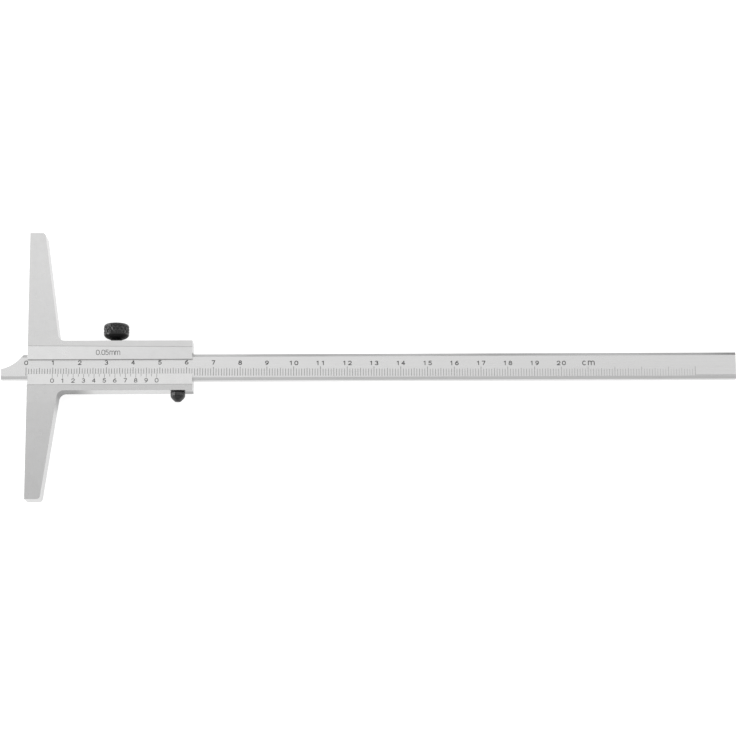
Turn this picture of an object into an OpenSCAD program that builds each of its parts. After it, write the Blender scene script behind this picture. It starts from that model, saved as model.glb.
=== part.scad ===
// Vernier depth gauge lying on its back.
// +X runs along the rule towards its far end, +Y along the foot's upper arm, +Z out of the graduated face.
// x = 0 is the plane of the foot's measuring face, y = 0 the rule's centre line, z = 0 the frame's back face.
// It is drawn with the rule standing 9.9 mm out of the foot.

/* [Foot] */
// Length of the foot across both arms
foot_length = 101.3; // [60:0.1:160]
// How far the foot's middle lies above the rule's centre line
foot_shift = 1.05; // [0:0.05:1.2]
// Width of each arm at its tip
arm_tip_width = 5.72; // [3:0.01:10]
// Slope of the arms' back edges, mm of width per mm of length
arm_taper = 0.142; // [0:0.001:0.4]
// Radius of the outer corner of each arm
arm_corner = 1.3; // [0.3:0.1:3]
// Fillet between the arms and the slider body
root_fillet = 2.6; // [0.5:0.1:5]

/* [Slider] */
// Length of the slider body along the rule
slider_length = 61.7; // [45:0.1:90]
// From the rule's centre line to the slider's edge on the lock knob's side
slider_high = 10.1; // [9.9:0.05:14]
// From the rule's centre line to the slider's other edge
slider_low = 8.8; // [8.7:0.05:14]
// Thickness of the foot and the slider body
frame_thick = 8.5; // [8.4:0.1:12]
// Height of the raised face above the back
raised_z = 8.7; // [8.6:0.05:12]
// From the rule's centre line to the raised face's upper edge
raised_high = 7.15; // [6:0.05:9]
// From the rule's centre line to the vernier plate's lower edge
raised_low = 6.6; // [6.5:0.05:8]
// Set-back of the raised face from the measuring face
raised_back = 0.15; // [0:0.05:2]
// Upper edge of the window in the raised face
window_top = 2.95; // [2:0.05:4.5]
// Lower edge of the window, where the vernier plate is thinnest
window_bottom = 2.4; // [2:0.05:4.5]
// Height of the vernier plate's thin edge above the back
vernier_edge_z = 8.05; // [8:0.05:8.3]
// Height of the vernier plate at its outer edge
vernier_top_z = 8.6; // [8.55:0.05:10]

/* [Rule] */
// Length of the rule
rule_length = 274.7; // [200:0.1:400]
// Width of the rule
rule_width = 10; // [8:0.1:16]
// Thickness of the rule
rule_thick = 4; // [2.5:0.1:6]
// How far the tip stands out of the foot
reading = 9.9; // [0:0.05:200]
// Width of the bevels along the front edges
rule_bevel = 1.1; // [0.3:0.05:2]
// Depth of the bevels along the front edges
rule_bevel_depth = 0.7; // [0.3:0.05:1.5]
// Height of the flat measuring end of the tip
tip_flat = 3.9; // [1:0.01:8]
// How far the tip's lower edge is ground back from the rule's edge
tip_relief = 0.65; // [0.1:0.05:1.5]
// Length of that ground stretch
tip_relief_length = 14; // [10:0.5:30]
// Radius of the concave cut behind the tip
tip_cut_radius = 13.14; // [10:0.01:40]

/* [Screws] */
// Diameter of the lock knob
knob_d = 9.6; // [7:0.1:14]
// Height of the lock knob with its hub
knob_h = 6.6; // [5:0.05:10]
// Radius of the shoulder around the lock knob's cap
knob_shoulder = 1.15; // [0.3:0.05:2]
// Place of the lock knob along the slider
knob_x = 32.85; // [20:0.05:45]
// Diameter of the lock stud
lock_stud_d = 3; // [2:0.1:4]
// Diameter of the small knob
small_knob_d = 5.5; // [4:0.1:7]
// Length of the small knob
small_knob_h = 3.8; // [2.5:0.1:6]
// Place of the small knob along the slider
small_knob_x = 56.15; // [52:0.05:57]
// Diameter of the small screw
small_stud_d = 2.4; // [1.8:0.1:3]
// Diameter of the strip's set screws
gib_screw_d = 2; // [1.4:0.1:2.5]
// Diameter of the cover screws
cover_screw_d = 1.6; // [1.2:0.1:2]
// Radial clearance of turning and sliding round parts
play = 0.05; // [0.02:0.01:0.1]

/* [Hidden] */
$fn = 96;
e = 0.01;
// an arc meets its straight edge at a crossing, not at a bare touch
blend = 0.003;
// how far each arm reaches from the rule's centre line
reach_high = foot_length / 2 + foot_shift;
reach_low = foot_length / 2 - foot_shift;
// unit normal of the upper arm's back edge
nl = sqrt(1 + arm_taper * arm_taper);
nx = 1 / nl;
ny = arm_taper / nl;
// centre of the outer corner's arc
ccx = arm_tip_width + (-arm_corner + ny * arm_corner) / nx;
// centre of the root fillet's arc
function fcy(h) = h + root_fillet;
function fcx(h, reach) = arm_tip_width + (root_fillet - ny * (fcy(h) - reach)) / nx;
function arm_root(h, reach) = arm_tip_width + arm_taper * (reach - h);

rule_back = 3.75;
rule_front = rule_back + rule_thick;
axis_z = rule_back + rule_thick / 2;
// both knobs clear the back; the small one also stays under the front
lock_z = 5.25;
small_z = 5.15;
channel_back = rule_back - 0.05;
channel_front = rule_front + 0.05;
channel_low = -rule_width / 2 - 0.05;
gib_thick = 0.8;
gib_low = rule_width / 2 + 0.05;
channel_high = gib_low + gib_thick + 0.05;

cover_x0 = 1.5;
cover_x1 = slider_length - 1.5;
cover_half = 8.6;
cover_y = 0.6;
cover_thick = 1.6;
cover_corner = 1.2;
screw_xs = [7, 50];
screw_y_high = 7.6;
screw_y_low = -6.6;
gib_screw_xs = [18, 46.5];
pin_xs = [13, 45];
pin_y = -5.83;
pin_d = 1;

// ---------- shared shapes ----------
module arm2d(h, reach) {
  ccy = reach - arm_corner;
  ax = arm_root(h, reach);
  fx = fcx(h, reach);
  fy = fcy(h);
  difference() {
    polygon([[0, 0], [0, reach], [arm_tip_width, reach], [ax, h], [ax, 0]]);
    difference() {
      polygon([[ccx, ccy], [ccx, reach + 1], [arm_tip_width + 3, reach + 1], [ccx + 4 * nx, ccy + 4 * ny]]);
      translate([ccx, ccy]) circle(r = arm_corner + blend);
    }
  }
  difference() {
    polygon([[ax - e, h - e], [fx - root_fillet * nx - e, fy - root_fillet * ny], [fx, fy], [fx, h - e]]);
    translate([fx, fy]) circle(r = root_fillet + blend);
  }
}

module outline2d() {
  arm2d(slider_high, reach_high);
  mirror([0, 1]) arm2d(slider_low, reach_low);
  translate([0, -slider_low]) square([slider_length, slider_high + slider_low]);
}

module y_cyl(x, y0, y1, d, z = axis_z) {
  translate([x, y0, z]) rotate([-90, 0, 0]) cylinder(d = d, h = y1 - y0);
}

module cover2d(g) translate([0, cover_y]) {
  x0 = cover_x0 + g; x1 = cover_x1 - g; y1 = cover_half - g; c = cover_corner - g;
  translate([x0 + c, -y1]) square([x1 - x0 - 2 * c, 2 * y1]);
  translate([x0, -y1 + c]) square([x1 - x0, 2 * y1 - 2 * c]);
  for (x = [x0 + c, x1 - c], y = [-y1 + c, y1 - c]) translate([x, y]) circle(r = c);
}

module screw_places() {
  for (x = screw_xs) {
    translate([x, screw_y_high, 0]) children();
    translate([x, screw_y_low, 0]) children();
  }
}

// ---------- frame ----------
module base_frame() color("silver") difference() {
  union() {
    linear_extrude(frame_thick) outline2d();
    translate([raised_back, window_top, frame_thick - e])
      cube([slider_length - raised_back, raised_high - window_top, raised_z - frame_thick + e]);
  }
  // channel of the rule and the strip
  translate([-1, channel_low, channel_back])
    cube([slider_length + 2, channel_high - channel_low, channel_front - channel_back]);
  // window in the front
  translate([-1, channel_low, channel_front - e])
    cube([slider_length + 2, window_top - channel_low, frame_thick]);
  // seat of the vernier plate
  translate([raised_back, -raised_low, channel_front])
    cube([slider_length, raised_low, frame_thick]);
  // recess of the cover, and the slot into the channel
  translate([0, 0, -1]) linear_extrude(cover_thick + 1) cover2d(0);
  translate([cover_x0, channel_low, 0])
    cube([cover_x1 - cover_x0, channel_high - channel_low, channel_back + e]);
  // threads of the lock screw, the strip's screws and the small screw
  y_cyl(knob_x, channel_high - e, slider_high + 1, lock_stud_d + 2 * play, lock_z);
  for (x = gib_screw_xs) y_cyl(x, channel_high - e, slider_high + 1, gib_screw_d + 0.04);
  y_cyl(small_knob_x, -slider_low - 1, channel_low + e, small_stud_d + 2 * play, small_z);
  // threads of the cover screws
  screw_places() translate([0, 0, cover_thick - e]) cylinder(d = cover_screw_d + 0.04, h = 3.7);
  // dowel holes
  for (x = pin_xs) translate([x, pin_y, channel_front - 1.3]) cylinder(d = pin_d + 0.04, h = 3);
}

// lower lip of the window, sloping down to the rule
module vernier_plate() color("gainsboro") difference() {
  translate([raised_back, 0, 0]) rotate([90, 0, 90])
    linear_extrude(slider_length - raised_back)
      polygon([[-raised_low, channel_front], [-window_bottom, channel_front],
               [-window_bottom, vernier_edge_z], [-raised_low, vernier_top_z]]);
  for (x = pin_xs) translate([x, pin_y, channel_front - 1]) cylinder(d = pin_d + 0.04, h = 1.45);
}

module dowel(x) translate([x, pin_y, channel_front - 1.2]) cylinder(d = pin_d, h = 1.6);
module vernier_pin_1() color("gray") dowel(pin_xs[0]);
module vernier_pin_2() color("gray") dowel(pin_xs[1]);

// cover of the channel, with a low rib that fills the slot behind the rule
module back_plate() color("lightsteelblue") difference() {
  union() {
    linear_extrude(cover_thick) cover2d(0.04);
    translate([cover_x0 + 0.5, channel_low + 0.1, cover_thick - e])
      cube([cover_x1 - cover_x0 - 1, channel_high - channel_low - 0.2, channel_back - 0.05 - cover_thick + e]);
  }
  screw_places() {
    translate([0, 0, -1]) cylinder(d = cover_screw_d + 0.2, h = 4);
    translate([0, 0, -e]) cylinder(d1 = 2.44, d2 = cover_screw_d + 0.04, h = 0.6);
  }
}

module cover_screw(x, y) translate([x, y, 0]) difference() {
  union() {
    translate([0, 0, 0.03]) cylinder(d1 = 2.4, d2 = cover_screw_d, h = 0.58);
    translate([0, 0, 0.6]) cylinder(d = cover_screw_d, h = 4.5);
  }
  translate([-2, -0.2, -1]) cube([4, 0.4, 1.33]);
}
module back_screw_1() color("dimgray") cover_screw(screw_xs[0], screw_y_high);
module back_screw_2() color("dimgray") cover_screw(screw_xs[1], screw_y_high);
module back_screw_3() color("dimgray") cover_screw(screw_xs[0], screw_y_low);
module back_screw_4() color("dimgray") cover_screw(screw_xs[1], screw_y_low);

// strip between the upper wall and the rule, dimpled under its two set screws
module gib_strip() color("peru") difference() {
  translate([1, gib_low, channel_back + 0.05])
    cube([slider_length - 2, gib_thick, channel_front - channel_back - 0.1]);
  for (x = gib_screw_xs) y_cyl(x, gib_low + gib_thick - 0.25, channel_high + 1, 1.3);
}

module set_screw(x) difference() {
  union() {
    y_cyl(x, channel_high + 0.2, slider_high - 0.4, gib_screw_d);
    y_cyl(x, gib_low + gib_thick - 0.22, channel_high + 0.3, 1.2);
  }
  translate([x - 0.2, slider_high - 1, axis_z - 2]) cube([0.4, 2, 4]);
}
module gib_screw_1() color("dimgray") set_screw(gib_screw_xs[0]);
module gib_screw_2() color("dimgray") set_screw(gib_screw_xs[1]);

// ---------- rule ----------
module beam() color("whitesmoke") difference() {
  translate([-reading, 0, 0]) rotate([90, 0, 90]) linear_extrude(rule_length)
    polygon([[-rule_width / 2, rule_back + 0.3], [-rule_width / 2 + 0.3, rule_back],
             [rule_width / 2 - 0.3, rule_back], [rule_width / 2, rule_back + 0.3],
             [rule_width / 2, rule_front - rule_bevel_depth], [rule_width / 2 - rule_bevel, rule_front],
             [-rule_width / 2 + rule_bevel, rule_front], [-rule_width / 2, rule_front - rule_bevel_depth]]);
  // concave cut behind the tip
  translate([-reading - 2.58, -rule_width / 2 + tip_relief + tip_flat + sqrt(tip_cut_radius * tip_cut_radius - 2.58 * 2.58), 0])
    cylinder(r = tip_cut_radius, h = 20, $fn = 180);
  // ground stretch along the tip's lower edge, bevelled like the rest
  translate([-reading - 1, 0, 0]) rotate([90, 0, 90]) linear_extrude(tip_relief_length + 1)
    polygon([[-rule_width / 2 - 1, 0], [-rule_width / 2 + tip_relief, 0],
             [-rule_width / 2 + tip_relief, rule_front - rule_bevel_depth],
             [-rule_width / 2 + tip_relief + rule_bevel, rule_front],
             [-rule_width / 2 + tip_relief + rule_bevel, 20], [-rule_width / 2 - 1, 20]]);
  // hole of the stop pin
  translate([stop_x, 0, rule_back - 1]) cylinder(d = 1.64, h = 3);
}

stop_x = slider_length + 190.5 + 0.8 - (reading - 10);
module stop_pin() color("gray") translate([stop_x, 0, rule_back - 0.9]) cylinder(d = 1.6, h = 2.8);

// ---------- lock screw ----------
knob_y0 = slider_high + 0.25;
knob_r = knob_d / 2;
module lock_knob() color([0.1, 0.1, 0.1]) translate([knob_x, knob_y0, lock_z]) rotate([-90, 0, 0]) difference() {
  rotate_extrude() {
    polygon([[0, 0], [knob_r - 2.8, 0], [knob_r - 2.2, 0.3], [knob_r - 1.5, 0.75], [knob_r - 0.8, 1.3],
             [knob_r - 0.3, 1.82], [knob_r, 2.4], [knob_r, knob_h - knob_shoulder],
             [knob_r - knob_shoulder, knob_h - knob_shoulder], [knob_r - knob_shoulder, knob_h], [0, knob_h]]);
    translate([knob_r - knob_shoulder, knob_h - knob_shoulder]) circle(r = knob_shoulder);
  }
  translate([0, 0, -1]) cylinder(d = lock_stud_d + 0.04, h = 5.2);
}
module lock_stud() color("gray") y_cyl(knob_x, gib_low + gib_thick + 1.25, knob_y0 + 4.1, lock_stud_d, lock_z);
// pad that the stud pushes and that doesn't turn with it
module lock_pad() color("goldenrod") y_cyl(knob_x, gib_low + gib_thick + 0.2, gib_low + gib_thick + 1.2, lock_stud_d, lock_z);

// ---------- small screw ----------
module drag_knob() color([0.1, 0.1, 0.1]) translate([small_knob_x, -slider_low - 0.15, small_z]) rotate([90, 0, 0]) difference() {
  rotate_extrude() polygon([[0, 0], [small_knob_d / 2, 0], [small_knob_d / 2, 1.6], [small_knob_d / 2 - 0.3, 2.2],
                            [small_knob_d / 2 - 0.85, 2.9], [0.95, small_knob_h], [0, small_knob_h]]);
  translate([0, 0, -1]) cylinder(d = small_stud_d + 0.04, h = 3);
  translate([-3, -0.25, small_knob_h - 0.5]) cube([6, 0.5, 2]);
}
module drag_stud() color("gray") y_cyl(small_knob_x, -slider_low - 2.1, -rule_width / 2 - 1.3, small_stud_d, small_z);
module drag_pad() color("goldenrod") y_cyl(small_knob_x, -rule_width / 2 - 1.25, -rule_width / 2 - 0.04, small_stud_d, small_z);

base_frame();
vernier_plate();
vernier_pin_1();
vernier_pin_2();
back_plate();
back_screw_1();
back_screw_2();
back_screw_3();
back_screw_4();
gib_strip();
gib_screw_1();
gib_screw_2();
beam();
stop_pin();
lock_knob();
lock_stud();
lock_pad();
drag_knob();
drag_stud();
drag_pad();
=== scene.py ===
"""Looks of a vernier depth gauge lying on its back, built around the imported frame.

Sizes below are in millimetres in the row frame: +X along the rule, +Y along the upper arm,
+Z out of the graduated face. Meshes are made in millimetres and turned into metres at the end.
"""

import bpy
import bmesh
import math
from mathutils import Matrix, Vector, geometry


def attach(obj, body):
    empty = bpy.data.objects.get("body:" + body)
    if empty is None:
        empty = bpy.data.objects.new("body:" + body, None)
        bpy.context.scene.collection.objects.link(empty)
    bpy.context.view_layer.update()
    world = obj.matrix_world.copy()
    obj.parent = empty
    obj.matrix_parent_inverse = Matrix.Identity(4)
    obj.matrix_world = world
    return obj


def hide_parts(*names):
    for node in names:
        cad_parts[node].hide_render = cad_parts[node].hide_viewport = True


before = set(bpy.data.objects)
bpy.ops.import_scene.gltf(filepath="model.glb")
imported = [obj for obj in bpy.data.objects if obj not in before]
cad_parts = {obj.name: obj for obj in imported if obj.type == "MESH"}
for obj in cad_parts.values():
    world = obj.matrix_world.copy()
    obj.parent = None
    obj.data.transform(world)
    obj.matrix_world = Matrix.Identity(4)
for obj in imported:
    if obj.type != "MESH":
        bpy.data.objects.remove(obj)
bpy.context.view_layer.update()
scene = bpy.context.scene

# ------------------------------------------------------------------ sizes
REACH_UP = 51.7
REACH_LOW = 49.6
TIP_W = 5.72
TAPER = 0.142
CORNER = 1.3
FILLET = 2.6
SL = 61.7
SH_UP = 10.1
SH_LOW = 8.8
THICK = 8.5
LIP_Z = 8.7
PLATE_Z = 8.6
LIP_LEFT = 8.1
LIP_RIGHT = 7.55
PLATE_Y = -6.6
LIP_X = 0.15
WIN_TOP = 2.95
WIN_BOT = -2.4
VERN_Z = 8.05
CH_LOW = -5.05
CH_HIGH = 5.9
CH_BACK = 3.7
CH_FRONT = 7.8
RULE_X0 = -9.9
RULE_X1 = 264.8
RULE_BACK = 3.75
RULE_FACE = 7.75
RULE_HALF = 5.0
BEVEL = 1.1
BEVEL_Z = 0.7
TIP_RELIEF = 0.65
AXIS_Z = 5.75
LOCK_Z = 5.25
KNOB_X = 32.85
KNOB_Y = 10.35
SMALL_X = 56.15
SMALL_Y = -8.95
SMALL_Z = 5.15
STOP_X = 253.1
EDGE = 0.055
DEPTH = 0.07


# ------------------------------------------------------------------ mesh tools
def link(name, me):
    ob = bpy.data.objects.new(name, me)
    scene.collection.objects.link(ob)
    return ob


def solid(name, verts, faces):
    me = bpy.data.meshes.new(name)
    me.from_pydata([tuple(v) for v in verts], [], faces)
    me.update()
    return link(name, me)


def prism_data(pts, lo, hi, place):
    """A closed prism over a counter-clockwise outline. place(u, v, w) gives the point in space."""
    n = len(pts)
    verts = [place(u, v, lo) for u, v in pts] + [place(u, v, hi) for u, v in pts]
    faces = [list(reversed(range(n))), list(range(n, 2 * n))]
    faces += [[i, (i + 1) % n, n + (i + 1) % n, n + i] for i in range(n)]
    return verts, faces


def flat(u, v, w):
    return (u, v, w)


def along_x(u, v, w):
    """The outline is in (y, z), and the prism runs along x."""
    return (w, u, v)


def prism(name, pts, lo, hi, place=flat):
    return solid(name, *prism_data(pts, lo, hi, place))


def block(x0, x1, y0, y1, z0, z1):
    return prism("cutter", [(x0, y0), (x1, y0), (x1, y1), (x0, y1)], z0, z1)


def ring(r, n, a0=0.0):
    return [(r * math.cos(a0 + 2 * math.pi * i / n), r * math.sin(a0 + 2 * math.pi * i / n)) for i in range(n)]


def rod_y(x, y0, y1, r, z=AXIS_Z, n=64):
    return prism("cutter", ring(r, n), y0, y1, lambda u, v, w: (x + v, w, z + u))


def rod_z(x, y, z0, z1, r, n=48):
    return prism("cutter", [(x + u, y + v) for u, v in ring(r, n)], z0, z1)


def arc(cx, cy, rx, ry, a0, a1, n):
    return [(cx + rx * math.cos(math.radians(a0 + (a1 - a0) * i / n)),
             cy + ry * math.sin(math.radians(a0 + (a1 - a0) * i / n))) for i in range(n + 1)]


def settle(ob):
    """Applies ob's modifiers to its mesh."""
    dg = bpy.context.evaluated_depsgraph_get()
    me = bpy.data.meshes.new_from_object(ob.evaluated_get(dg))
    old = ob.data
    ob.modifiers.clear()
    ob.data = me
    bpy.data.meshes.remove(old)


def carve(ob, *cutters, keep=False, operation="DIFFERENCE"):
    for c in cutters:
        m = ob.modifiers.new("carve", "BOOLEAN")
        m.object = c
        m.operation = operation
        m.solver = "EXACT"
        bpy.context.view_layer.update()
        settle(ob)
        if not keep:
            me = c.data
            bpy.data.objects.remove(c)
            bpy.data.meshes.remove(me)


def tidy(ob, angle=0.02):
    bm = bmesh.new()
    bm.from_mesh(ob.data)
    bmesh.ops.remove_doubles(bm, verts=bm.verts, dist=1e-5)
    bmesh.ops.dissolve_limit(bm, angle_limit=math.radians(angle), verts=bm.verts, edges=bm.edges)
    bmesh.ops.recalc_face_normals(bm, faces=bm.faces)
    bm.to_mesh(ob.data)
    bm.free()


def ease(ob, width=EDGE, segments=2, angle=35):
    """Breaks the sharp edges."""
    m = ob.modifiers.new("edges", "BEVEL")
    m.width = width
    m.segments = segments
    m.limit_method = "ANGLE"
    m.angle_limit = math.radians(angle)
    m.use_clamp_overlap = False
    m.miter_outer = "MITER_ARC"
    settle(ob)


def to_metres(ob, smooth=24.0):
    ob.data.transform(Matrix.Scale(0.001, 4))
    me = ob.data
    me.polygons.foreach_set("use_smooth", [True] * len(me.polygons))
    me.set_sharp_from_angle(angle=math.radians(smooth))
    me.update()
    return ob


# ------------------------------------------------------------------ single-stroke figures
def glyph(ch):
    """(advance, strokes) of a figure that is 1 high. A stroke is (points, closed)."""
    if ch == "0":
        return 0.66, [(arc(0.33, 0.64, 0.33, 0.36, 0, 180, 10) + arc(0.33, 0.36, 0.33, 0.36, 180, 360, 10), True)]
    if ch == "1":
        return 0.40, [([(0.02, 0.80), (0.26, 1.0), (0.26, 0.0)], False)]
    if ch == "2":
        return 0.66, [(arc(0.33, 0.69, 0.31, 0.31, 165, -38, 12) + [(0.02, 0.0), (0.66, 0.0)], False)]
    if ch == "3":
        return 0.62, [(arc(0.29, 0.755, 0.27, 0.245, 150, -90, 10) + arc(0.29, 0.255, 0.31, 0.255, 90, -150, 12), False)]
    if ch == "4":
        return 0.66, [([(0.46, 0.0), (0.46, 1.0), (0.0, 0.30), (0.64, 0.30)], False)]
    if ch == "5":
        return 0.62, [([(0.56, 1.0), (0.10, 1.0), (0.06, 0.56)] + arc(0.29, 0.32, 0.31, 0.32, 128, -150, 14), False)]
    if ch in "69":
        loop = (arc(0.33, 0.31, 0.31, 0.31, 0, 360, 20)[:-1], True)
        tail = ([(0.54, 1.0), (0.30, 0.90), (0.12, 0.70), (0.03, 0.46), (0.02, 0.31)], False)
        strokes = [loop, tail]
        if ch == "9":
            strokes = [([(0.66 - x, 1.0 - y) for x, y in p], c) for p, c in strokes]
        return 0.66, strokes
    if ch == "7":
        return 0.64, [([(0.02, 1.0), (0.62, 1.0), (0.24, 0.0)], False)]
    if ch == "8":
        return 0.64, [(arc(0.32, 0.76, 0.25, 0.24, 0, 360, 18)[:-1], True),
                      (arc(0.32, 0.27, 0.31, 0.27, 0, 360, 20)[:-1], True)]
    if ch == ".":
        return 0.20, [([(0.08, 0.02), (0.10, 0.02)], False)]
    if ch == "c":
        return 0.62, [(arc(0.32, 0.40, 0.32, 0.40, 50, 310, 16), False)]
    if ch == "m":
        return 1.16, [([(0.02, 0.0), (0.02, 0.80)], False),
                      ([(0.02, 0.48)] + arc(0.28, 0.50, 0.26, 0.30, 165, 0, 9) + [(0.54, 0.0)], False),
                      ([(0.54, 0.48)] + arc(0.82, 0.50, 0.28, 0.30, 165, 0, 9) + [(1.10, 0.0)], False)]
    return 0.5, []


def word(text, x, y, height, stroke, gap=0.2, stretch=1.0, middle=True):
    """The strokes of a line of figures as (points, closed, width), with x the middle or the left end."""
    sizes = [glyph(c) for c in text]
    total = sum(a for a, _ in sizes) + gap * (len(text) - 1)
    pen = x - (total * height * stretch / 2 if middle else 0)
    out = []
    inner = height - stroke
    for advance, strokes in sizes:
        group = [([(pen + px * height * stretch, y + stroke / 2 + py * inner) for px, py in pts], closed, stroke)
                 for pts, closed in strokes]
        out.append(group)
        pen += (advance + gap) * height * stretch
    return out


def ribbon_shapes(group, shrink=0.0):
    """Convex shapes, quads and small discs, whose union is the strokes of one figure."""
    shapes = []
    for pts, closed, width in group:
        r = width / 2 - shrink
        pairs = list(zip(pts, pts[1:])) + ([(pts[-1], pts[0])] if closed else [])
        for (x0, y0), (x1, y1) in pairs:
            length = math.hypot(x1 - x0, y1 - y0)
            if length < 1e-6:
                continue
            nx, ny = -(y1 - y0) / length * r, (x1 - x0) / length * r
            shapes.append([(x0 - nx, y0 - ny), (x1 - nx, y1 - ny), (x1 + nx, y1 + ny), (x0 + nx, y0 + ny)])
        for x, y in pts:
            shapes.append([(x + u, y + v) for u, v in ring(r, 10, 0.3)])
    return shapes


def joined(shapes, lo, hi, place):
    """A closed prism over the union of convex shapes."""
    coords, faces = [], []
    for s in shapes:
        faces.append(list(range(len(coords), len(coords) + len(s))))
        coords += [Vector(p) for p in s]
    got = geometry.delaunay_2d_cdt(coords, [], faces, 0, 1e-6, True)
    out_verts, out_faces, origin = got[0], got[2], got[5]
    inside = [f for f, o in zip(out_faces, origin) if o]
    edges = {}
    for f in inside:
        for a, b in zip(f, list(f[1:]) + [f[0]]):
            edges[(a, b)] = edges.get((a, b), 0) + 1
    used = sorted({i for f in inside for i in f})
    index = {v: k for k, v in enumerate(used)}
    n = len(used)
    verts = [place(out_verts[i].x, out_verts[i].y, lo) for i in used]
    verts += [place(out_verts[i].x, out_verts[i].y, hi) for i in used]
    out = [[index[i] for i in reversed(f)] for f in inside]
    out += [[n + index[i] for i in f] for f in inside]
    for (a, b), k in edges.items():
        if (b, a) not in edges:
            a, b = index[a], index[b]
            out.append([a, b, n + b, n + a])
    return verts, out


def gather(name, parts):
    verts, faces = [], []
    for v, f in parts:
        k = len(verts)
        verts += v
        faces += [[i + k for i in face] for face in f]
    return solid(name, verts, faces)


def engrave(ob, name, figures, bars, place, depth=DEPTH, fill=0.012):
    """Cuts figures and straight marks into ob, and returns the ink that fills them.
    The face is at w = 0 of place(u, v, w). A bar is a list of rectangles that may overlap."""
    cut, ink = [], []
    for group in figures:
        cut.append(joined(ribbon_shapes(group), -depth, 0.2, place))
        ink.append(joined(ribbon_shapes(group, 0.004), -depth + 0.004, -fill, place))
    for rects in bars:
        for parts, g, lo, hi in ((cut, 0.0, -depth, 0.2), (ink, 0.004, -depth + 0.004, -fill)):
            shapes = [[(x0 + g, y0 + g), (x1 - g, y0 + g), (x1 - g, y1 - g), (x0 + g, y1 - g)]
                      for x0, x1, y0, y1 in rects]
            parts.append(joined(shapes, lo, hi, place))
    carve(ob, gather("cutter", cut))
    return gather(name, ink)


# ------------------------------------------------------------------ frame
def foot_outline():
    nl = math.hypot(1, TAPER)
    nx, ny = 1 / nl, TAPER / nl
    turn = math.degrees(math.atan(TAPER))
    ccx = TIP_W + (-CORNER + ny * CORNER) / nx

    def side(edge, reach):
        fcy = edge + FILLET
        fcx = TIP_W + (FILLET - ny * (fcy - reach)) / nx
        return ([(SL, edge)] + arc(fcx, fcy, FILLET, FILLET, 270, 180 + turn, 18)
                + arc(ccx, reach - CORNER, CORNER, CORNER, turn, 90, 14) + [(0.0, reach)])

    return [(x, -y) for x, y in reversed(side(SH_LOW, REACH_LOW))] + side(SH_UP, REACH_UP)


def rounded(x0, x1, y0, y1, r, n=8):
    return (arc(x1 - r, y0 + r, r, r, -90, 0, n) + arc(x1 - r, y1 - r, r, r, 0, 90, n)
            + arc(x0 + r, y1 - r, r, r, 90, 180, n) + arc(x0 + r, y0 + r, r, r, 180, 270, n))


def lip_edge(x, offset=0.0):
    """The upper edge of the lip, ground a little askew."""
    return (x, LIP_LEFT + (LIP_RIGHT - LIP_LEFT) * x / SL + offset)


def make_frame():
    ob = prism("foot_frame", foot_outline(), 0.0, LIP_Z)
    carve(ob,
          prism("cutter", [lip_edge(-5), lip_edge(SL + 5), (SL + 5, 60), (-5, 60)], THICK, 10),
          block(-5, SL + 5, -60, PLATE_Y, THICK, 10),
          block(-5, LIP_X, -20, 20, THICK, 10),
          prism("cutter", [lip_edge(-5, -0.001), lip_edge(SL + 5, -0.001), lip_edge(SL + 5, 0.12), lip_edge(-5, 0.12)],
                THICK - 0.1, 10),
          block(-5, SL + 5, PLATE_Y, WIN_TOP, CH_FRONT, 10),
          block(-5, SL + 5, CH_LOW, CH_HIGH, CH_BACK, CH_FRONT),
          prism("cutter", rounded(1.5, SL - 1.5, -8.0, 9.2, 1.2), -1, 1.6),
          block(1.5, SL - 1.5, CH_LOW, CH_HIGH, 0.5, CH_BACK + 0.5))
    carve(ob, rod_y(KNOB_X, CH_HIGH - 0.5, 12, 1.55, LOCK_Z))
    for x in (18.0, 46.5):
        carve(ob, rod_y(x, CH_HIGH - 0.5, 12, 1.02))
    carve(ob, rod_y(SMALL_X, -12, CH_LOW + 0.5, 1.25, SMALL_Z))
    for x in (7.0, 50.0):
        for y in (7.6, -6.6):
            carve(ob, rod_z(x, y, 1.0, 5.3, 0.82))
    for x in (13.0, 45.0):
        carve(ob, rod_z(x, -5.83, 6.5, 9.0, 0.52))
    tidy(ob)
    ease(ob)
    return ob


def on_lip(u, v, w):
    return (u, v, LIP_Z + w)


def lip_figures():
    return word("0.05", 25.75, 4.53, 2.02, 0.23, gap=0.155, stretch=0.87, middle=False) + \
        word("mm", 30.78, 4.53, 2.02, 0.23, gap=0.1, stretch=0.8, middle=False)


# ------------------------------------------------------------------ vernier plate
SLOPE = math.atan2(PLATE_Z - VERN_Z, WIN_BOT - PLATE_Y)


def on_slope(u, v, w):
    """v is the row's y, measured flat; w is square to the slope."""
    z = VERN_Z + (WIN_BOT - v) * math.tan(SLOPE)
    return (u, v + w * math.sin(SLOPE), z + w * math.cos(SLOPE))


def make_vernier():
    ob = prism("vernier_scale", [(PLATE_Y, CH_FRONT), (WIN_BOT, CH_FRONT), (WIN_BOT, VERN_Z), (PLATE_Y, PLATE_Z)],
               LIP_X, SL, along_x)
    for x in (13.0, 45.0):
        carve(ob, rod_z(x, -5.83, 7.0, 8.25, 0.52))
    tidy(ob)
    ease(ob, width=0.05)
    return ob


VERN_ZERO = 9.42
VERN_STEP = 39.0 / 20


def vernier_marks():
    bars, figures = [], []
    for i in range(21):
        x = VERN_ZERO + VERN_STEP * i
        low = -4.06 if i % 2 == 0 else -3.55
        bars.append([(x - 0.07, x + 0.07, low, WIN_BOT - 0.1)])
        if i % 2 == 0:
            figures += word(str((i // 2) % 10), x, -5.93, 1.7, 0.27)
    return figures, bars


# ------------------------------------------------------------------ rule
SCALE_ZERO = -0.48


def clamp(t, lo=0.0, hi=1.0):
    return max(lo, min(hi, t))


def drift(x):
    """The scale lies a little askew on the rule: it sinks by this much towards the far end."""
    return -0.2 - 0.0046 * max(0.0, x - 40.0)


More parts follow.
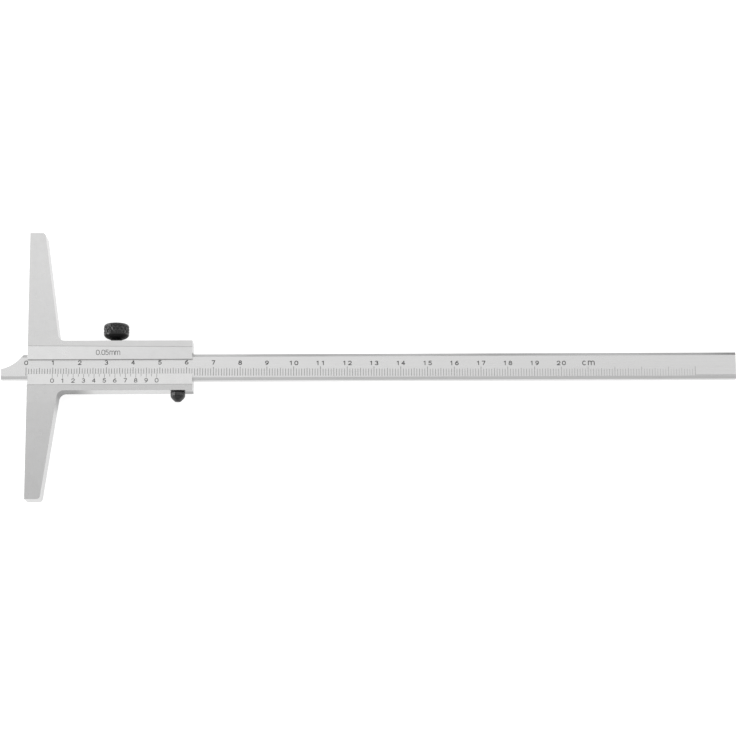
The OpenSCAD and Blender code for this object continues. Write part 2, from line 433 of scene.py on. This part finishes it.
def make_rule():
    h = RULE_HALF
    low = RULE_FACE - BEVEL_Z
    ob = prism("graduated_rule",
               [(-h, RULE_BACK + 0.3), (-h + 0.3, RULE_BACK), (h - 0.3, RULE_BACK), (h, RULE_BACK + 0.3),
                (h, low), (h - BEVEL, RULE_FACE), (-h + BEVEL, RULE_FACE), (-h, low)],
               RULE_X0, RULE_X1, along_x)
    carve(ob, prism("cutter", [(-12.48 + u, 12.435 + v) for u, v in ring(13.14, 200)], 0, 12))
    t = -h + TIP_RELIEF
    carve(ob, prism("cutter", [(-h - 1, 0), (t, 0), (t, low), (t + BEVEL, RULE_FACE), (t + BEVEL, 20), (-h - 1, 20)],
                    RULE_X0 - 1, RULE_X0 + 14, along_x))
    carve(ob, rod_z(STOP_X, 0, 1.0, 5.75, 0.82))
    tidy(ob)
    ease(ob, width=0.06)
    return ob


def on_rule(u, v, w):
    return (u, v, RULE_FACE + w)


def rule_marks():
    bars, figures = [], []
    edge = -RULE_HALF + BEVEL + 0.03
    for n in range(251):
        x = SCALE_ZERO + n
        top = -0.2 + drift(x)
        low = max(edge, -3.1 - 0.0051 * max(0.0, x - 40.0))
        w = 0.083 - 0.014 * clamp((x - 150) / 50) - 0.02 * clamp((x - 218) / 20)
        if n % 10 == 0:
            top += 0.4 + 0.4 * clamp((x - 55) / 40)
            w += 0.009
        elif n % 5 == 0:
            top += 0.25
            w += 0.004
        if n == 250:
            bars.append([(x - 0.08, x + 0.08, edge + 0.1, -0.4), (x - 0.08, RULE_X1 - 0.15, edge + 0.1, edge + 0.26)])
        else:
            bars.append([(x - w, x + w, low, top)])
        if n % 10 == 0 and n <= 200:
            y = 0.98 - 0.39 * clamp((x - 60) / 35) - 0.0038 * max(0.0, x - 95)
            text = str(n // 10)
            pen = 0.29 + 0.03 * clamp((x - 55) / 10)
            if len(text) == 1:
                figures += word(text, x, y, 1.72, pen)
            else:
                figures += word(text[0], x - 1.0, y, 1.72, pen)
                figures += word(text[1], x + 1.0, y, 1.72, pen)
    figures += word("c", 208.1, 0.1, 2.2, 0.34, stretch=0.85)
    figures += word("m", 210.8, 0.1, 2.2, 0.34, stretch=0.93)
    return figures, bars


# ------------------------------------------------------------------ knobs
def lathe(name, profile, n, place, shape=None):
    """A closed solid of revolution. profile is a list of (r, h) whose first and last r are 0.
    shape(r, h, angle) may change r."""
    verts, faces = [], []
    rows = []
    for r, h in profile:
        if r < 1e-9:
            rows.append([len(verts)])
            verts.append(place(0.0, 0.0, h))
        else:
            row = []
            for i in range(n):
                a = 2 * math.pi * i / n
                rr = shape(r, h, a) if shape else r
                row.append(len(verts))
                verts.append(place(rr * math.cos(a), rr * math.sin(a), h))
            rows.append(row)
    for a, b in zip(rows, rows[1:]):
        for i in range(n):
            j = (i + 1) % n
            if len(a) == 1:
                faces.append([a[0], b[j], b[i]])
            elif len(b) == 1:
                faces.append([a[i], a[j], b[0]])
            else:
                faces.append([a[i], a[j], b[j], b[i]])
    ob = solid(name, verts, faces)
    bm = bmesh.new()
    bm.from_mesh(ob.data)
    bmesh.ops.recalc_face_normals(bm, faces=bm.faces)
    bm.to_mesh(ob.data)
    bm.free()
    return ob


def spread(points, step):
    """Adds points along a profile so that none are further apart than step."""
    out = [points[0]]
    for a, b in zip(points, points[1:]):
        k = max(1, math.ceil(math.hypot(b[0] - a[0], b[1] - a[1]) / step))
        out += [(a[0] + (b[0] - a[0]) * i / k, a[1] + (b[1] - a[1]) * i / k) for i in range(1, k + 1)]
    return out


def smooth01(t):
    t = clamp(t)
    return t * t * (3 - 2 * t)


def make_lock_knob():
    teeth = 16
    r = 4.8
    pitch = 1.15

    def knurl(rr, h, a):
        if rr < r - 0.9 or h < 2.4:
            return rr
        fade = smooth01((h - 2.5) / 0.5) * smooth01((5.9 - h) / 0.8)
        u = teeth * a / (2 * math.pi) + h / (2 * pitch)
        v = teeth * a / (2 * math.pi) - h / (2 * pitch)
        groove = max(1 - abs(((t + 0.5) % 1.0) - 0.5) / 0.42 for t in (u, v))
        return rr - 0.3 * fade * clamp(groove)

    inner = [(0.0, 4.2), (1.52, 4.2), (1.52, 0.0)]
    under = [(1.9, 0.0), (2.0, 0.1), (2.0, 0.6), (2.4, 0.77), (3.0, 1.0), (3.5, 1.2), (3.9, 1.42), (4.2, 1.66),
             (4.42, 1.91), (4.6, 2.18), (4.74, 2.48), (4.79, 2.62), (4.8, 2.72)]
    drum = spread([(4.8, 2.72), (4.8, 5.3)], 0.07)[1:]
    shoulder = spread(arc(3.5, 5.3, 1.3, 1.3, 0, 84, 16), 0.1)[1:]
    top = [(3.5, 6.6), (3.36, 6.585), (3.28, 6.51), (3.2, 6.59), (2.5, 6.6), (1.7, 6.61), (1.0, 6.61),
           (0.86, 6.58), (0.7, 6.44), (0.0, 6.4)]
    return lathe("lock_knob_knurled", inner + under + drum + shoulder + top, teeth * 18,
                 lambda a, b, h: (KNOB_X + b, KNOB_Y + h, LOCK_Z + a), knurl)


def make_small_knob():
    teeth = 26

    def flute(rr, h, a):
        if rr < 1.3 or h > 3.1:
            return rr
        fade = smooth01((h + 0.02) / 0.2) * smooth01((2.6 - h) / 0.9)
        t = teeth * a / (2 * math.pi)
        groove = 1 - abs(((t + 0.5) % 1.0) - 0.5) / 0.36
        return rr - 0.035 * fade * clamp(groove)

    inner = [(0.0, 2.0), (1.22, 2.0), (1.22, 0.0)]
    outer = spread([(2.6, 0.0), (2.72, 0.06), (2.75, 0.14), (2.75, 1.6)], 0.12)
    dome = spread([(2.75, 1.6), (2.66, 1.95), (2.47, 2.3), (2.2, 2.66), (1.86, 3.02), (1.48, 3.36), (1.12, 3.66)], 0.12)[1:]
    top = [(1.0, 3.76), (0.86, 3.8), (0.0, 3.82)]
    ob = lathe("small_knob_fluted", inner + outer + dome + top, teeth * 10,
               lambda a, b, h: (SMALL_X + b, SMALL_Y - h, SMALL_Z + a), flute)
    slot = block(SMALL_X - 3, SMALL_X + 3, SMALL_Y - 5, SMALL_Y - 3.3, SMALL_Z - 0.25, SMALL_Z + 0.25)
    carve(ob, slot)
    return ob


# ------------------------------------------------------------------ materials
class Nodes:
    def __init__(self, name):
        self.mat = bpy.data.materials.new(name)
        self.mat.use_nodes = True
        self.tree = self.mat.node_tree
        self.tree.nodes.clear()
        self.out = self.tree.nodes.new("ShaderNodeOutputMaterial")
        self.bsdf = self.tree.nodes.new("ShaderNodeBsdfPrincipled")
        self.tree.links.new(self.bsdf.outputs[0], self.out.inputs[0])
        self.where = self.tree.nodes.new("ShaderNodeTexCoord").outputs["Object"]

    def link(self, a, b):
        self.tree.links.new(a, b)

    def put(self, socket, value):
        if isinstance(value, bpy.types.NodeSocket):
            self.link(value, socket)
        else:
            socket.default_value = value

    def mapping(self, scale, rotate=(0, 0, 0)):
        m = self.tree.nodes.new("ShaderNodeMapping")
        m.inputs["Scale"].default_value = scale
        m.inputs["Rotation"].default_value = rotate
        self.link(self.where, m.inputs["Vector"])
        return m.outputs[0]

    def noise(self, vector, scale, detail=3.0, rough=0.55, distort=0.0):
        n = self.tree.nodes.new("ShaderNodeTexNoise")
        self.link(vector, n.inputs["Vector"])
        n.inputs["Scale"].default_value = scale
        n.inputs["Detail"].default_value = detail
        n.inputs["Roughness"].default_value = rough
        n.inputs["Distortion"].default_value = distort
        return n.outputs["Fac"]

    def voronoi(self, vector, scale, feature="F1"):
        n = self.tree.nodes.new("ShaderNodeTexVoronoi")
        n.feature = feature
        self.link(vector, n.inputs["Vector"])
        n.inputs["Scale"].default_value = scale
        return n.outputs["Distance"]

    def math(self, op, a, b=0.0, c=0.0, clamp_it=False):
        n = self.tree.nodes.new("ShaderNodeMath")
        n.operation = op
        n.use_clamp = clamp_it
        for s, v in zip(n.inputs, (a, b, c)):
            self.put(s, v)
        return n.outputs[0]

    def span(self, value, a, b, lo=0.0, hi=1.0):
        n = self.tree.nodes.new("ShaderNodeMapRange")
        self.link(value, n.inputs["Value"])
        for key, v in (("From Min", a), ("From Max", b), ("To Min", lo), ("To Max", hi)):
            n.inputs[key].default_value = v
        return n.outputs[0]

    def mix(self, fac, a, b):
        n = self.tree.nodes.new("ShaderNodeMix")
        n.data_type = "RGBA"
        self.put(n.inputs[0], fac)
        self.put(n.inputs[6], a)
        self.put(n.inputs[7], b)
        return n.outputs[2]

    def bump(self, height, distance, strength=1.0, onto=None):
        n = self.tree.nodes.new("ShaderNodeBump")
        n.inputs["Strength"].default_value = strength
        n.inputs["Distance"].default_value = distance
        self.link(height, n.inputs["Height"])
        if onto is not None:
            self.link(onto, n.inputs["Normal"])
        return n.outputs[0]

    def axes(self):
        n = self.tree.nodes.new("ShaderNodeSeparateXYZ")
        self.link(self.where, n.inputs[0])
        return n.outputs


def grey(v, warm=0.0):
    return (v * (1 + warm), v, v * (1 - warm), 1.0)


def satin_steel(name, base, rough, fine=1.0, arms=True):
    """Satin-chromed steel: a fine ground grain under a soft mottled sheen, with stray hairline scratches."""
    m = Nodes(name)
    x, y, z = m.axes()
    cloud = m.noise(m.mapping((90, 70, 120)), 1.0, 3.0, 0.6)
    patch = m.noise(m.mapping((420, 420, 420)), 1.0, 2.0, 0.5)
    grain_x = m.noise(m.mapping((260, 6500, 6500)), 1.0, 2.0, 0.6)
    grain_y = m.noise(m.mapping((6500, 260, 6500)), 1.0, 2.0, 0.6)
    if arms:
        on_arm = m.span(m.math("ABSOLUTE", y), 0.0091, 0.0125)
        grain = m.math("ADD", m.math("MULTIPLY", grain_x, m.math("SUBTRACT", 1.0, on_arm)),
                       m.math("MULTIPLY", grain_y, on_arm))
    else:
        grain = grain_x
    scratch = m.voronoi(m.mapping((95, 2600, 900), (0.35, 0.1, 0.62)), 1.0, "DISTANCE_TO_EDGE")
    hair = m.math("MULTIPLY", m.span(scratch, 0.0, 0.02, 1.0, 0.0),
                  m.span(m.noise(m.mapping((55, 55, 55)), 1.0, 2.0), 0.56, 0.66))
    tone = m.math("ADD", m.span(cloud, 0.3, 0.7, -0.022, 0.022), m.span(patch, 0.3, 0.7, -0.016, 0.016))
    tone = m.math("ADD", tone, m.span(grain, 0.3, 0.7, -0.025, 0.025))
    tone = m.math("ADD", tone, m.math("MULTIPLY", hair, -0.05))
    if arms:
        # the raised lip is lapped a little brighter than the faces around it
        lapped = m.math("ADD", 0.085, m.span(x, 0.014, 0.06, 0.045, -0.035))
        tone = m.math("ADD", tone, m.math("MULTIPLY", m.span(z, 0.00858, 0.00866), lapped))
    fac = m.span(tone, -0.1, 0.2)
    colour = m.mix(fac, grey(base * 0.9, 0.004), grey(base * 1.2, 0.0))
    if arms:
        # painted shade: the side facing the lower arm is painted darker in the corner by the arm and at the far end,
        # with a painted reflection making it lighter in between; the lower strip and the lower arm are painted a
        # little darker as painted shade
        side = m.math("MULTIPLY", m.span(z, 0.00842, 0.00848, 1.0, 0.0), m.span(y, -0.00872, -0.0086, 1.0, 0.0))
        root_shade = m.math("MULTIPLY", m.span(x, 0.018, 0.025, 1.0, 0.0), m.span(y, -0.017, -0.0105, 0.0, 1.0))
        root_shade = m.math("MULTIPLY", root_shade, m.span(x, 0.0092, 0.0104))
        end = m.math("MULTIPLY", m.span(x, 0.0545, 0.0585, 0.0, 0.95), m.span(z, 0.004, 0.0075, 1.0, 0.2))
        darkening = m.math("ADD", root_shade, end, clamp_it=True)
        darkening = m.math("MULTIPLY", darkening, m.span(cloud, 0.3, 0.7, 0.9, 1.0))
        # painted shade on the side face, in the corner by the lower arm and at the far end
        colour = m.mix(m.math("MULTIPLY", side, darkening), colour, grey(base * 0.3))
        # painted reflection: a lighter stretch on the side face between the corner and the far end
        painted_reflection = m.math("MULTIPLY", m.span(x, 0.023, 0.029, 0.0, 0.15), m.span(x, 0.0535, 0.0565, 1.0, 0.0))
        colour = m.mix(m.math("MULTIPLY", side, painted_reflection), colour, grey(0.96))
        # painted shade: the lower strip and the lower arm are painted a little darker
        lower_shade = m.math("MAXIMUM", m.span(x, 0.02, 0.03, 0.06, 0.085), m.span(y, -0.014, -0.0095, 0.092, 0.0))
        lower_shade = m.math("MULTIPLY", lower_shade, m.span(y, -0.0068, -0.0064, 1.0, 0.0))
        lower_shade = m.math("MULTIPLY", lower_shade, m.span(x, 0.00005, 0.0002))
        colour = m.mix(lower_shade, colour, grey(0.0))
    m.put(m.bsdf.inputs["Base Color"], colour)
    m.bsdf.inputs["Metallic"].default_value = 1.0
    r = m.math("ADD", m.span(cloud, 0.3, 0.7, rough - 0.03, rough + 0.03), m.span(grain, 0.3, 0.7, -0.04, 0.04))
    r = m.math("ADD", r, m.math("MULTIPLY", hair, 0.08))
    m.put(m.bsdf.inputs["Roughness"], r)
    b1 = m.bump(grain, 0.000004 * fine)
    b2 = m.bump(patch, 0.000012 * fine, 0.6, b1)
    b3 = m.bump(m.math("MULTIPLY", hair, -1.0), 0.000004, 1.0, b2)
    m.put(m.bsdf.inputs["Normal"], b3)
    return m.mat


def rule_steel(name, base, rough):
    """Ground stainless steel with a grain along its length."""
    m = Nodes(name)
    cloud = m.noise(m.mapping((45, 160, 160)), 1.0, 4.0, 0.6)
    long_grain = m.noise(m.mapping((60, 9000, 9000)), 1.0, 3.0, 0.65)
    band = m.noise(m.mapping((22, 1400, 1400)), 1.0, 2.0, 0.5)
    speck = m.voronoi(m.mapping((700, 700, 700)), 1.0)
    pit = m.math("MULTIPLY", m.span(speck, 0.05, 0.13, 1.0, 0.0),
                 m.span(m.noise(m.mapping((150, 150, 150)), 1.0, 2.0), 0.55, 0.7))
    tone = m.math("ADD", m.span(cloud, 0.3, 0.7, -0.028, 0.028), m.span(long_grain, 0.3, 0.7, -0.03, 0.03))
    tone = m.math("ADD", tone, m.span(band, 0.3, 0.7, -0.012, 0.012))
    tone = m.math("ADD", tone, m.math("MULTIPLY", pit, -0.05))
    # brighter towards the tip
    x, y, z = m.axes()
    tone = m.math("ADD", tone, m.span(x, 0.05, 0.23, 0.09, 0.0))
    colour = m.mix(m.span(tone, -0.1, 0.2), grey(base * 0.9, 0.004), grey(base * 1.2, 0.0))
    # painted reflection: lighter and darker stretches follow each other along the upper bevel, and painted shade makes
    # its far end dark
    wave = m.math("SINE", m.math("MULTIPLY", m.math("SUBTRACT", x, 0.1213), 2 * math.pi / 0.075))
    wave = m.math("ADD", m.span(wave, -1.0, 1.0, 0.02, 0.52), m.span(x, 0.252, 0.262, 0.0, -0.48))
    bevel = m.math("MULTIPLY", m.span(y, 0.0039, 0.00395), m.span(z, 0.00772, 0.00768))
    lit = m.math("MULTIPLY", bevel, m.math("MAXIMUM", wave, 0.0))
    dark = m.math("MULTIPLY", bevel, m.math("MAXIMUM", m.math("MULTIPLY", wave, -1.0), 0.0))
    # painted reflection and painted shade on the upper bevel
    colour = m.mix(lit, colour, grey(0.95))
    colour = m.mix(dark, colour, grey(0.12))
    m.put(m.bsdf.inputs["Base Color"], colour)
    m.bsdf.inputs["Metallic"].default_value = 1.0
    r = m.math("ADD", m.span(cloud, 0.3, 0.7, rough - 0.025, rough + 0.035), m.span(long_grain, 0.3, 0.7, -0.05, 0.05))
    m.put(m.bsdf.inputs["Roughness"], r)
    b1 = m.bump(long_grain, 0.000005)
    b2 = m.bump(m.math("MULTIPLY", pit, -1.0), 0.00001, 1.0, b1)
    m.put(m.bsdf.inputs["Normal"], b2)
    return m.mat


def turned_steel(name, base, rough):
    """Plain turned steel of screws and pins: fine rings of tool marks, a little oil-darkened."""
    m = Nodes(name)
    rings = m.noise(m.mapping((2500, 9000, 2500)), 1.0, 3.0, 0.6)
    darkening = m.noise(m.mapping((900, 900, 900)), 1.0, 4.0, 0.6)
    tone = m.math("ADD", m.span(rings, 0.3, 0.7, -0.04, 0.04), m.span(darkening, 0.3, 0.7, -0.05, 0.05))
    colour = m.mix(m.span(tone, -0.1, 0.1), grey(base * 0.75, 0.01), grey(base * 1.2, 0.005))
    m.put(m.bsdf.inputs["Base Color"], colour)
    m.bsdf.inputs["Metallic"].default_value = 1.0
    m.put(m.bsdf.inputs["Roughness"], m.span(darkening, 0.3, 0.7, rough - 0.06, rough + 0.08))
    m.put(m.bsdf.inputs["Normal"], m.bump(rings, 0.000008))
    return m.mat


def drawn_bronze(name):
    m = Nodes(name)
    grain = m.noise(m.mapping((300, 7000, 7000)), 1.0, 3.0, 0.6)
    stain = m.noise(m.mapping((350, 500, 500)), 1.0, 4.0, 0.65)
    fac = m.math("ADD", m.span(grain, 0.3, 0.7, -0.1, 0.1), m.span(stain, 0.3, 0.7, 0.0, 1.0), clamp_it=True)
    m.put(m.bsdf.inputs["Base Color"], m.mix(fac, (0.40, 0.25, 0.10, 1), (0.66, 0.46, 0.22, 1)))
    m.bsdf.inputs["Metallic"].default_value = 1.0
    m.put(m.bsdf.inputs["Roughness"], m.span(stain, 0.3, 0.7, 0.45, 0.3))
    m.put(m.bsdf.inputs["Normal"], m.bump(grain, 0.000008))
    return m.mat


def black_knob(name, centre, reach, matt):
    """Blackened steel, semi-gloss, rubbed a little lighter on the crests of the knurl.
    centre is the knob's axis (x, z) and reach its radius, in metres. matt = (y0, y1) is where the
    matt end towards the slider turns into the polished part; the matt end's colour is also painted darker, as painted
    shade."""
    m = Nodes(name)
    x, y, z = m.axes()
    dx = m.math("SUBTRACT", x, centre[0])
    dz = m.math("SUBTRACT", z, centre[1])
    radius = m.math("SQRT", m.math("ADD", m.math("MULTIPLY", dx, dx), m.math("MULTIPLY", dz, dz)))
    mottle = m.noise(m.mapping((1100, 1100, 1100)), 1.0, 4.0, 0.65)
    fine = m.noise(m.mapping((6000, 6000, 6000)), 1.0, 2.0, 0.5)
    crest = m.span(radius, reach - 0.00012, reach)
    worn = m.math("MULTIPLY", crest, m.span(mottle, 0.42, 0.62))
    fac = m.math("ADD", m.math("MULTIPLY", worn, 0.75), m.span(mottle, 0.3, 0.7, 0.0, 0.25), clamp_it=True)
    # painted shade: the end towards the slider is matt, and its colour is also painted darker
    matt_and_painted_shade = m.span(y, matt[0], matt[1], 1.0, 0.0)
    fac = m.math("MULTIPLY", fac, m.math("SUBTRACT", 1.0, matt_and_painted_shade))
    m.put(m.bsdf.inputs["Base Color"], m.mix(fac, (0.0032, 0.0032, 0.0035, 1), (0.036, 0.0355, 0.035, 1)))
    m.bsdf.inputs["Metallic"].default_value = 0.0
    m.bsdf.inputs["IOR"].default_value = 1.54
    m.put(m.bsdf.inputs["Specular IOR Level"], m.span(matt_and_painted_shade, 0.0, 1.0, 0.5, 0.16))
    shine = m.math("ADD", m.span(mottle, 0.3, 0.7, 0.2, 0.32), m.span(fine, 0.3, 0.7, -0.04, 0.04))
    m.put(m.bsdf.inputs["Roughness"], m.math("ADD", shine, m.math("MULTIPLY", matt_and_painted_shade, 0.25)))
    b1 = m.bump(fine, 0.000007)
    b2 = m.bump(mottle, 0.000018, 0.6, b1)
    m.put(m.bsdf.inputs["Normal"], b2)
    return m.mat


def ink(name, dark, light, x0, x1, figures=None):
    """Filler of the engraving: matt, uneven, and more worn away towards x1, less so in the figures,
    which lie above y = figures."""
    m = Nodes(name)
    x, y, z = m.axes()
    wear = m.span(x, x0, x1)
    if figures is not None:
        wear = m.math("MULTIPLY", wear, m.span(y, figures, figures + 0.0001, 1.0, 0.35))
    crumb = m.noise(m.mapping((2200, 2200, 2200)), 1.0, 3.0, 0.6)
    patch = m.noise(m.mapping((160, 400, 400)), 1.0, 2.0, 0.5)
    fac = m.math("ADD", wear, m.math("ADD", m.span(crumb, 0.3, 0.7, -0.12, 0.12), m.span(patch, 0.3, 0.7, -0.12, 0.12)), clamp_it=True)
    m.put(m.bsdf.inputs["Base Color"], m.mix(fac, grey(dark), grey(light)))
    m.put(m.bsdf.inputs["Roughness"], m.span(crumb, 0.3, 0.7, 0.55, 0.75))
    m.bsdf.inputs["Specular IOR Level"].default_value = 0.25
    m.put(m.bsdf.inputs["Normal"], m.bump(crumb, 0.000015))
    return m.mat


def studio_floor():
    m = Nodes("studio_floor")
    n = m.noise(m.mapping((3, 3, 3)), 1.0, 2.0)
    m.put(m.bsdf.inputs["Base Color"], m.mix(n, grey(0.40), grey(0.42)))
    m.bsdf.inputs["Roughness"].default_value = 0.9
    m.bsdf.inputs["Specular IOR Level"].default_value = 0.0
    m.bsdf.inputs["Emission Color"].default_value = (1, 1, 1, 1)
    m.bsdf.inputs["Emission Strength"].default_value = 0.85
    return m.mat


def dress(ob, mat):
    ob.data.materials.clear()
    ob.data.materials.append(mat)
    for p in ob.data.polygons:
        p.material_index = 0


def dress_cad(name, mat, edge=0.0):
    """A CAD node keeps its mesh and gets a finish, and its edges are broken."""
    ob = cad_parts[name]
    while len(ob.material_slots) < 1:
        ob.data.materials.append(None)
    for s in ob.material_slots:
        s.material = mat
    if edge:
        b = ob.modifiers.new("edges", "BEVEL")
        b.width = edge
        b.segments = 2
        b.limit_method = "ANGLE"
        b.angle_limit = math.radians(40)
    return ob


# ------------------------------------------------------------------ build
steel = satin_steel("satin_steel_frame", 0.622, 0.31)
steel_plate = satin_steel("satin_steel_scale", 0.642, 0.30, arms=False)
steel_cover = satin_steel("satin_steel_cover", 0.60, 0.33, arms=False)
steel_rule = rule_steel("ground_steel_rule", 0.625, 0.30)
steel_plain = turned_steel("turned_steel", 0.42, 0.34)
bronze = drawn_bronze("drawn_bronze")
black_big = black_knob("black_lock_knob", (KNOB_X / 1000, LOCK_Z / 1000), 0.0048, (0.01235, 0.0126))
black_small = black_knob("black_small_knob", (SMALL_X / 1000, SMALL_Z / 1000), 0.00275, (-0.0092, -0.0096))
ink_rule = ink("ink_rule", 0.045, 0.34, 0.0, 0.28, 0.00006)
ink_vernier = ink("ink_vernier", 0.10, 0.14, 0.0, 0.06)
ink_lip = ink("ink_lip", 0.11, 0.15, 0.0, 0.06)

foot = make_frame()
lip_ink = engrave(foot, "lip_figures_ink", lip_figures(), [], on_lip)
plate = make_vernier()
figures, bars = vernier_marks()
plate_ink = engrave(plate, "vernier_ink", figures, bars, on_slope)
rule = make_rule()
figures, bars = rule_marks()
rule_ink = engrave(rule, "rule_ink", figures, bars, on_rule)
big = make_lock_knob()
small = make_small_knob()

for ob, mat, body, slot in (
    (foot, steel, "slider", "satin_steel"),
    (lip_ink, ink_lip, "slider", None),
    (plate, steel_plate, "slider", "satin_steel"),
    (plate_ink, ink_vernier, "slider", None),
    (rule, steel_rule, "rule", "rule_steel"),
    (rule_ink, ink_rule, "rule", None),
    (big, black_big, "lock_screw", "black_knob"),
    (small, black_small, "drag_screw", "black_knob"),
):
    to_metres(ob, 30.0 if ob in (big, small) else 12.0)
    dress(ob, mat)
    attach(ob, body)
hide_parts("base_frame")
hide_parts("vernier_plate")
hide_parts("beam")
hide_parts("lock_knob")
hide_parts("drag_knob")

dress_cad("back_plate", steel_cover, 0.00012)
for name in ("vernier_pin_1", "vernier_pin_2", "back_screw_1", "back_screw_2", "back_screw_3", "back_screw_4",
             "gib_screw_1", "gib_screw_2", "stop_pin", "lock_stud", "drag_stud"):
    dress_cad(name, steel_plain, 0.00005)
for name in ("gib_strip", "lock_pad", "drag_pad"):
    dress_cad(name, bronze, 0.00008)

# ------------------------------------------------------------------ stage, light and camera
floor = solid("floor", [(-2.5, -2.5, -0.0002), (2.5, -2.5, -0.0002), (2.5, 2.5, -0.0002), (-2.5, 2.5, -0.0002)],
              [[0, 1, 2, 3]])
dress(floor, studio_floor())

world = bpy.data.worlds.new("studio")
scene.world = world
world.use_nodes = True
world.node_tree.nodes["Background"].inputs[0].default_value = (0.5, 0.5, 0.5, 1)
world.node_tree.nodes["Background"].inputs[1].default_value = 1.0


def softbox(name, where, aim, size, power, tint=(1, 1, 1)):
    lamp = bpy.data.lights.new(name, "AREA")
    lamp.shape = "RECTANGLE"
    lamp.size, lamp.size_y = size
    lamp.energy = power
    lamp.color = tint
    ob = bpy.data.objects.new(name, lamp)
    scene.collection.objects.link(ob)
    ob.location = where
    ob.rotation_euler = (Vector(aim) - Vector(where)).to_track_quat("-Z", "Y").to_euler()
    return ob


softbox("overhead", (0.10, 0.50, 0.80), (0.10, 0.0, 0.0), (1.6, 1.0), 3.4)
softbox("left_window", (-0.85, 0.05, 0.28), (0.05, 0.0, 0.0), (0.35, 0.35), 4.0)
softbox("left_low", (-0.75, -0.45, 0.14), (0.04, 0.0, 0.01), (0.3, 0.14), 1.2)
softbox("right_fill", (1.10, 0.20, 0.60), (0.05, 0.0, 0.0), (0.5, 0.5), 1.4)
softbox("near_fill", (0.10, -0.80, 0.60), (0.10, 0.0, 0.0), (1.2, 0.8), 0.8)

# The eye is 0.89 m away over the middle of the picture, a little towards the lower arm.
back = Vector((0.0, -0.1919, math.sqrt(1 - 0.1919 ** 2)))
turn = 0.0037
level = Vector((1.0, 0.0, 0.0))
cam_x = (level * math.cos(turn) - back.cross(level) * math.sin(turn)).normalized()
cam_y = back.cross(cam_x).normalized()
camera = bpy.data.cameras.new("camera")
camera.type = "PERSP"
camera.sensor_width = 36.0
camera.lens = 36.0 * 2.6526 * 888.41 / 736
camera.clip_start = 0.01
camera.clip_end = 10.0
eye = bpy.data.objects.new("camera", camera)
scene.collection.objects.link(eye)
spot = Vector((0.12729, 0.00092, 0.0)) + back * 0.88841
eye.matrix_world = Matrix((
    (cam_x.x, cam_y.x, back.x, spot.x),
    (cam_x.y, cam_y.y, back.y, spot.y),
    (cam_x.z, cam_y.z, back.z, spot.z),
    (0, 0, 0, 1)))
scene.camera = eye
scene.view_settings.view_transform = "Standard"
scene.view_settings.look = "None"

bpy.context.view_layer.update()
